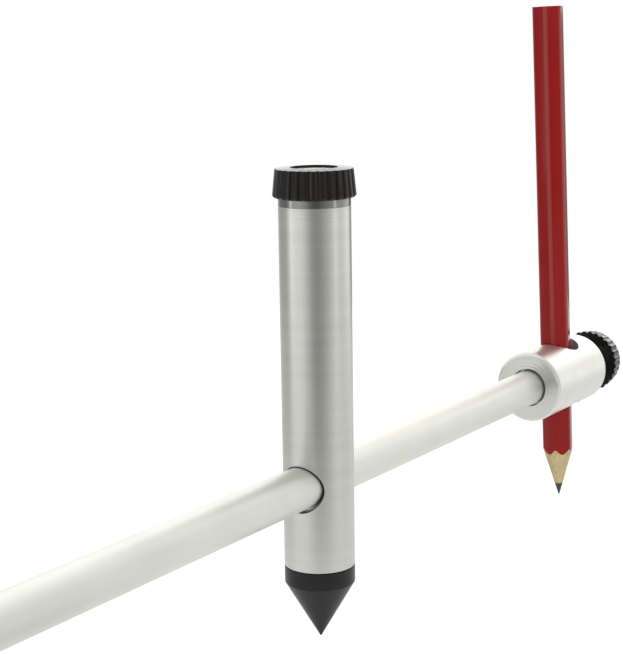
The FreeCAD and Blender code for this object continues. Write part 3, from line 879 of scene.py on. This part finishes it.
bush_low, bush_high = reach("top_bush", 2)
STUD_HOLE = 3.05
bush = turn("bush", [
    (STUD_HOLE, bush_low), (SPIGOT_RADIUS, bush_low), (SPIGOT_RADIUS, tube_high),
    (POST_RADIUS, tube_high), (POST_RADIUS, bush_high), (STUD_HOLE, bush_high),
], loop=True)
ease_edges(bush, EDGE)
install(bush, "post", "bush_steel", "top_bush")

# %% [markdown]
# ## The fluted cap and knob
#
# Cap and knob share one look: a tapered rim with 28 rounded flutes, a low crown and a shallow
# recess. The profile says how deep the flutes are at each ring. A flute has twelve points of
# the ring, and those that lie in its groove are scaled towards the axis, step by step from its
# middle. The first plain ring after the rim evens them out.

# %% Turn a fluted rim
FLUTES = 28
FLUTE_POINTS = 12
FLUTE_RADIUS = 0.55
FLUTE_DEPTH = 0.42
PLAIN = 0.0
FLUTE_MARGIN = 0.08
CROWN_DROP = 0.25
SEAT_RADIUS = 4.91
SAME_RATIO = 1e-9


def flute_step(vertex):
    """How many points a vertex lies from the middle of its flute."""
    turns = math.atan2(vertex.co.y, vertex.co.x) / (2 * math.pi) * FLUTES
    return round(abs(turns - round(turns)) * FLUTE_POINTS)


def flute_cut(step, radius, depth):
    """How deep a flute is, that many points from its middle, on a rim of that radius."""
    aside = step * 2 * math.pi * radius / (FLUTES * FLUTE_POINTS)
    if aside >= FLUTE_RADIUS:
        return 0.0
    return max(0.0, math.sqrt(FLUTE_RADIUS**2 - aside**2) - (FLUTE_RADIUS - depth))


def shape_ring(piece, ring, before, after, height):
    """Scales the points of the selected ring, step by step of the flute, to their new radii."""
    mesh = bmesh.from_edit_mesh(piece.data)
    for step in range(FLUTE_POINTS // 2 + 1):
        for element in (mesh.faces, mesh.edges, mesh.verts):
            for each in element:
                each.select = False
        mesh.verts.ensure_lookup_table()
        for index in ring:
            mesh.verts[index].select = flute_step(mesh.verts[index]) == step
        mesh.select_flush_mode()
        bmesh.update_edit_mesh(piece.data)
        ratio = after[step] / before[step]
        if abs(ratio - 1) > SAME_RATIO:
            bpy.ops.transform.resize(value=(ratio, ratio, 1), center_override=(0, 0, height * MM))
        mesh = bmesh.from_edit_mesh(piece.data)
    mesh.verts.ensure_lookup_table()
    for index in ring:
        mesh.verts[index].select = True
    mesh.select_flush(True)
    bmesh.update_edit_mesh(piece.data)


def radii(radius, depth):
    """The radius of a ring at each step of a flute of that depth."""
    return [radius - flute_cut(step, radius, depth) for step in range(FLUTE_POINTS // 2 + 1)]


def turn_fluted(name, profile, filled=False):
    """A turned piece with fluted rings. The profile lists radius, height and flute depth."""
    radius, height, _ = profile[0]
    piece = first_ring(name, radius, height, FLUTES * FLUTE_POINTS, filled)
    bpy.ops.mesh.select_mode(type="VERT")
    now = radii(radius, PLAIN)
    ring = range(FLUTES * FLUTE_POINTS)
    for next_radius, next_height, depth in profile:
        if (next_radius, next_height) != (radius, height):
            extrude_to(next_height - height, next_height, 1)
            mesh = bmesh.from_edit_mesh(piece.data)
            ring = [vertex.index for vertex in mesh.verts if vertex.select]
        after = radii(next_radius, depth)
        shape_ring(piece, ring, now, after, next_height)
        now, radius, height = after, next_radius, next_height
    return piece


def crown(radius, top, floor, flute):
    """The rings that end both rims: the fluted edge, the low crown and the disc's recess."""
    plain = radius - flute - FLUTE_MARGIN
    fall = CROWN_DROP * (plain - SEAT_RADIUS) / (radius - SEAT_RADIUS)
    return [
        (radius, top - CROWN_DROP, flute), (plain, top - fall, PLAIN),
        (SEAT_RADIUS, top, PLAIN), (SEAT_RADIUS, floor, PLAIN),
    ]


print("rim points:", FLUTES * FLUTE_POINTS)

# %% [markdown]
# The cap is open underneath, where it turns on a washer, and has a threaded insert in its
# middle. Its profile therefore runs back to its start. The bright disc lies on the floor of
# its recess.

# %% The cap and its disc
CAP_RIM = 8.65
CAP_CROWN = 8.1
CAP_FLUTE_END = 0.22
CAP_WELL = 7.15
INSERT_HOLE = 4.01
INSERT_FLANGE = 5.01
FLANGE_THICKNESS = 0.8
RIM_EDGE = 0.35
DISC_RADIUS = 4.9
DISC_CHAMFER = 0.2
cap_low, cap_high = reach("clamp_cap", 2)
washer_high = reach("thrust_washer", 2)[1]
disc_low, disc_high = reach("cap_disc", 2)

flange_top = washer_high + FLANGE_THICKNESS
cap = turn_fluted("cap", [
    (CAP_WELL, cap_low, PLAIN), (CAP_RIM - RIM_EDGE, cap_low, PLAIN),
    (CAP_RIM, cap_low + RIM_EDGE, FLUTE_DEPTH),
    *crown(CAP_CROWN, cap_high, disc_low, CAP_FLUTE_END),
    (INSERT_HOLE, disc_low, PLAIN), (INSERT_HOLE, flange_top, PLAIN),
    (INSERT_FLANGE, flange_top, PLAIN), (INSERT_FLANGE, washer_high, PLAIN),
    (CAP_WELL, washer_high, PLAIN), (CAP_WELL, cap_low, PLAIN),
])
close_piece(cap, loop=True)
ease_edges(cap, EDGE)
install(cap, "cap", "black_plastic", "clamp_cap")


def turn_disc(name, low, high):
    """A flat disc with a small chamfer on its upper edge."""
    disc = turn(name, [(DISC_RADIUS, low), (DISC_RADIUS, high - DISC_CHAMFER),
                       (DISC_RADIUS - DISC_CHAMFER, high)])
    return ease_edges(disc, FINE_EDGE)


cap_disc = turn_disc("cap_disc_inlay", disc_low, disc_high)
install(cap_disc, "cap", "disc_aluminium", "cap_disc")

# %% [markdown]
# The knob is the same rim on a short hub. It is turned upright, with the height along its axis
# counted from the pivot, and then laid on its side and leaned with the holder.

# %% The knob and its disc
KNOB_RIM = 8.55
KNOB_CROWN = 7.95
KNOB_FLUTE_END = 0.12
KNOB_HUB = 4.0
KNOB_HUB_LENGTH = 3.0
KNOB_SOCKET_DEPTH = 5.5
STUD_SOCKET = 3.01
knob_low, knob_high = reach("clamp_knob", 0)
knob_face = knob_low + KNOB_HUB_LENGTH
knob_disc_low, knob_disc_high = reach("knob_disc", 0)


def lift_to_beam_axis(piece, lean=LEAN):
    """Leans a piece about the X axis, as the holder leans, and lifts it to the beam's axis."""
    return settle(piece, (0, 0, BEAM_HEIGHT), (lean, 0, 0))


def hang_on_beam_axis(piece, lean=LEAN):
    """Lays an upright piece along the beam's axis, leaned as the holder leans."""
    settle(piece, angles=ON_ITS_SIDE)
    return lift_to_beam_axis(piece, lean)


knob = turn_fluted("knob", [
    (STUD_SOCKET, knob_low + KNOB_SOCKET_DEPTH, PLAIN), (STUD_SOCKET, knob_low, PLAIN),
    (KNOB_HUB, knob_low, PLAIN), (KNOB_HUB, knob_face, PLAIN),
    (KNOB_RIM, knob_face, FLUTE_DEPTH),
    *crown(KNOB_CROWN, knob_high, knob_disc_low, KNOB_FLUTE_END),
], filled=True)
close_piece(knob, loop=False)
ease_edges(knob, EDGE)
hang_on_beam_axis(knob)
install(knob, "knob", "black_plastic", "clamp_knob")

knob_disc = turn_disc("knob_disc_inlay", knob_disc_low, knob_disc_high)
hang_on_beam_axis(knob_disc)
install(knob_disc, "knob", "disc_aluminium", "knob_disc")

# %% [markdown]
# ## The beam
#
# A drawn tube, with a small chamfer where it enters the holder, and a plug in its free end.

# %% The beam and its plug
BEAM_BORE = 3.0
BEAM_CHAMFER = 0.3
PLUG_FIT = 0.01
PLUG_EDGE = 0.4
beam_low, beam_high = reach("beam_tube", 0)
plug_low, plug_high = reach("beam_end_plug", 0)

beam = turn("beam", [
    (BEAM_BORE, beam_low), (BEAM_RADIUS, beam_low), (BEAM_RADIUS, beam_high - BEAM_CHAMFER),
    (BEAM_RADIUS - BEAM_CHAMFER, beam_high), (BEAM_BORE, beam_high),
], loop=True)
ease_edges(beam, EDGE)
hang_on_beam_axis(beam, lean=0)
install(beam, "beam", "beam_aluminium", "beam_tube")

plug_head = BEAM_RADIUS - PLUG_FIT
plug_shank = BEAM_BORE - PLUG_FIT
plug = turn("beam_plug", [
    (plug_head - PLUG_EDGE, plug_low), (plug_head, plug_low + PLUG_EDGE), (plug_head, beam_low),
    (plug_shank, beam_low), (plug_shank, plug_high),
])
ease_edges(plug, SOFT_EDGE)
hang_on_beam_axis(plug, lean=0)
install(plug, "beam", "black_plastic", "beam_end_plug")

# %% [markdown]
# ## The holder
#
# One bright turned block. The lathe gives it its outside, the pocket for the beam and the hole
# for the knob's stud. Two drills then go across it: a wide one for the pencil, and a narrow one
# underneath for the screw that fixes it to the beam.

# %% The holder
HOLDER_RADIUS = 9.15
HOLDER_CHAMFER = 0.8
REAR_CHAMFER = 0.4
BEAM_POCKET = 4.55
MOUTH_RADIUS = 5.0
MOUTH_DEPTH = 3.0
SCREW_HOLE = 2.01
POCKET_GAP = 0.05
holder_low, holder_high = reach("holder_body", 0)
pocket_floor = beam_high + POCKET_GAP
screw_low, screw_high = reach("holder_set_screw", 0)
screw_at = (screw_low + screw_high) / 2

holder = turn("holder", [
    (BEAM_POCKET, pocket_floor), (BEAM_POCKET, holder_low + MOUTH_DEPTH),
    (MOUTH_RADIUS, holder_low + MOUTH_DEPTH), (MOUTH_RADIUS, holder_low),
    (HOLDER_RADIUS - HOLDER_CHAMFER, holder_low), (HOLDER_RADIUS, holder_low + HOLDER_CHAMFER),
    (HOLDER_RADIUS, holder_high - REAR_CHAMFER), (HOLDER_RADIUS - REAR_CHAMFER, holder_high),
    (STUD_HOLE, holder_high), (STUD_HOLE, hole_at),
], sides=160)
settle(holder, angles=ON_ITS_SIDE)
drill = cutting_rod("drill", hole_radius, -DRILL_REACH, DRILL_REACH, sides=112)
cut_with(holder, settle(drill, (hole_at, 0, 0)))
drill = cutting_rod("drill", SCREW_HOLE, -DRILL_REACH, 0, sides=48)
cut_with(holder, settle(drill, (screw_at, 0, 0)))
ease_edges(holder, SOFT_EDGE)
lift_to_beam_axis(holder)
install(holder, "holder", "holder_aluminium", "holder_body")

# %% [markdown]
# The set screw is a short turned plug with a hexagonal socket, which a six-sided cutter makes.

# %% The set screw
SCREW_RADIUS = 2.0
SCREW_LENGTH = 4.0
SCREW_CHAMFER = 0.5
SOCKET_CORNER = 1.155
SOCKET_DEPTH = 1.8
PAST_END = 1.0
screw_top = -BEAM_POCKET
screw_bottom = screw_top - SCREW_LENGTH
screw = turn("set_screw", [
    (SCREW_RADIUS - SCREW_CHAMFER / 2, screw_bottom),
    (SCREW_RADIUS, screw_bottom + SCREW_CHAMFER / 2),
    (SCREW_RADIUS, screw_top - SCREW_CHAMFER), (SCREW_RADIUS - SCREW_CHAMFER, screw_top),
], sides=64)
key = cutting_rod("key", SOCKET_CORNER, screw_bottom - PAST_END, screw_bottom + SOCKET_DEPTH, sides=6)
cut_with(screw, key)
ease_edges(screw, FINE_EDGE)
settle(screw, (screw_at, 0, 0))
lift_to_beam_axis(screw)
install(screw, "holder", "black_steel", "holder_set_screw")

# %% [markdown]
# ## The stud
#
# The knob's stud has a real thread. One tooth of it is drawn as a bent edge, and the Screw
# modifier carries it round and along. The helix runs a turn too far at both ends, and two
# straight cuts then make its flat ends. From the front end, an inset and an extrusion make
# the thin pin that carries the brass pad.

# %% The threaded stud
PITCH = 1.0
ROOT_RADIUS = 2.45
CREST_RADIUS = 2.95
CREST_FLAT = 0.14
THREAD_STEPS = 48
SPARE_TURNS = 2
PIN_RADIUS = 1.2
PAD_GAP = 0.05
DOWNWARDS = -0.99
END_MARGIN = 0.01
stud_low, stud_high = reach("knob_stud", 0)
shoulder = reach("pressure_pad", 0)[1] + PAD_GAP
flank = (PITCH - CREST_FLAT) / 2

clear_selection()
bpy.ops.mesh.primitive_plane_add(size=MM, location=(ROOT_RADIUS * MM, 0, (shoulder - PITCH) * MM))
stud = bpy.context.object
stud.name = "stud"
stud.data.name = "stud"
bpy.ops.object.transform_apply(location=True, rotation=True, scale=True)
bpy.ops.object.mode_set(mode="EDIT")
bpy.ops.mesh.select_all(action="SELECT")
bpy.ops.mesh.merge(type="CENTER")
depth = CREST_RADIUS - ROOT_RADIUS
for step in ((depth, 0, flank), (0, 0, CREST_FLAT), (-depth, 0, flank)):
    bpy.ops.mesh.extrude_region_move(
        TRANSFORM_OT_translate={"value": [part * MM for part in step]})
bpy.ops.object.mode_set(mode="OBJECT")
helix = stud.modifiers.new("helix", "SCREW")
helix.axis = "Z"
helix.screw_offset = PITCH * MM
helix.iterations = math.ceil((stud_high - shoulder) / PITCH) + SPARE_TURNS
helix.steps = THREAD_STEPS
helix.render_steps = THREAD_STEPS
bpy.ops.object.modifier_apply(modifier=helix.name)

bpy.ops.object.mode_set(mode="EDIT")
for place, outwards in ((shoulder, -1), (stud_high, 1)):
    bpy.ops.mesh.select_all(action="SELECT")
    bpy.ops.mesh.remove_doubles(threshold=MERGE_GAP * MM)
    bpy.ops.mesh.bisect(plane_co=(0, 0, place * MM), plane_no=(0, 0, outwards),
                        clear_outer=True, use_fill=True)
print("stud turns:", round((stud_high - shoulder) / PITCH))


def select_faces(piece, wanted):
    """Selects only the faces whose middle, in millimetres, and normal pass a test."""
    bpy.ops.mesh.select_mode(type="FACE")
    bpy.ops.mesh.select_all(action="DESELECT")
    mesh = bmesh.from_edit_mesh(piece.data)
    for face in mesh.faces:
        face.select_set(wanted(face.calc_center_median() / MM, face.normal))
    bmesh.update_edit_mesh(piece.data)
    return sum(face.select for face in mesh.faces)


def on_front_end(middle, normal):
    """Whether a face of the upright stud lies on its lower end, which is its front."""
    return normal.z < DOWNWARDS and middle.z < shoulder + END_MARGIN


bpy.ops.mesh.select_all(action="SELECT")
bpy.ops.mesh.normals_make_consistent(inside=False)
print("stud end faces:", select_faces(stud, on_front_end))
bpy.ops.mesh.inset(thickness=(ROOT_RADIUS - PIN_RADIUS) * MM, depth=0)
bpy.ops.mesh.extrude_region_move(
    TRANSFORM_OT_translate={"value": (0, 0, (stud_low - shoulder) * MM)})
close_piece(stud, loop=False)
smooth_shading(stud, 35)
hang_on_beam_axis(stud)
install(stud, "knob", "zinc_steel", "knob_stud")

# %% [markdown]
# ## The pencil
#
# A pencil is a hexagonal rod with softly rounded corners, and its point is a cone. Where the
# cone cuts a flat, it leaves the scalloped edge of the paint. So three pieces are made: the
# paint is a hexagonal tube, the casing a hexagonal rod with a bore, and both are cut by the
# inside of the same sharpener. The lead is turned.

# %% The pencil
PAINT = 0.12
CORNER_ROUND = 0.6
CORNER_STEPS = 6
FIRST_CORNER = 30
LEAD_RADIUS = 1.1
LEAD_FIT = 0.01
LEAD_TIP = 0.15
SHARPENING = math.tan(math.radians(16.5))
PENCIL_DROP = 33.2
PENCIL_LENGTH = 131.6
SHARPENER_ROOM = 5.0
pencil_top = PENCIL_LENGTH - PENCIL_DROP


def hexagonal_rod(name, flats, low, high):
    """An upright hexagonal rod with rounded corners."""
    rod = first_ring(name, flats / math.sqrt(3), low, PENCIL_SIDES, filled=True)
    bpy.ops.mesh.bevel(offset=CORNER_ROUND * MM, segments=CORNER_STEPS, affect="VERTICES")
    bpy.ops.mesh.select_all(action="SELECT")
    bpy.ops.mesh.extrude_region_move(TRANSFORM_OT_translate={"value": (0, 0, (high - low) * MM)})
    return close_piece(rod, loop=False)


def sharpened(piece):
    """Keeps what lies inside the sharpener, a cone that opens into a wide cylinder."""
    rise = (PENCIL_FLATS - LEAD_TIP) / SHARPENING
    sharpener = turn("sharpener", [
        (LEAD_TIP, -PENCIL_DROP), (PENCIL_FLATS, rise - PENCIL_DROP),
        (PENCIL_FLATS, pencil_top + SHARPENER_ROOM),
    ], sides=192)
    return cut_with(piece, sharpener, "INTERSECT")


def stand_in_holder(piece):
    """Turns the hexagon from its first corner to its own turn, and leans it with the holder."""
    settle(piece, (pencil_at, 0, 0), (0, 0, PENCIL_TURN - FIRST_CORNER))
    return lift_to_beam_axis(piece)


wood_flats = PENCIL_FLATS - 2 * PAINT
past_point = -PENCIL_DROP - PAST_END
past_top = pencil_top + PAST_END
paint = hexagonal_rod("pencil_paint", PENCIL_FLATS, -PENCIL_DROP, pencil_top)
cut_with(paint, hexagonal_rod("core", wood_flats, past_point, past_top))
sharpened(paint)
stand_in_holder(smooth_shading(paint, 25))
install(paint, "pencil", "pencil_paint", "pencil_lacquer")

casing = hexagonal_rod("pencil_wood", wood_flats, -PENCIL_DROP, pencil_top)
bore = cutting_rod("bore", LEAD_RADIUS + LEAD_FIT, past_point, past_top, sides=48)
cut_with(casing, bore)
sharpened(casing)
stand_in_holder(smooth_shading(casing, 25))
install(casing, "pencil", "pencil_wood", "pencil_casing")

lead_shoulder = (LEAD_RADIUS - LEAD_TIP) / SHARPENING - PENCIL_DROP
lead = turn("pencil_lead_core", [
    (LEAD_TIP, -PENCIL_DROP), (LEAD_RADIUS, lead_shoulder), (LEAD_RADIUS, pencil_top),
], sides=48)
stand_in_holder(smooth_shading(lead, 10))
install(lead, "pencil", "graphite", "pencil_lead")
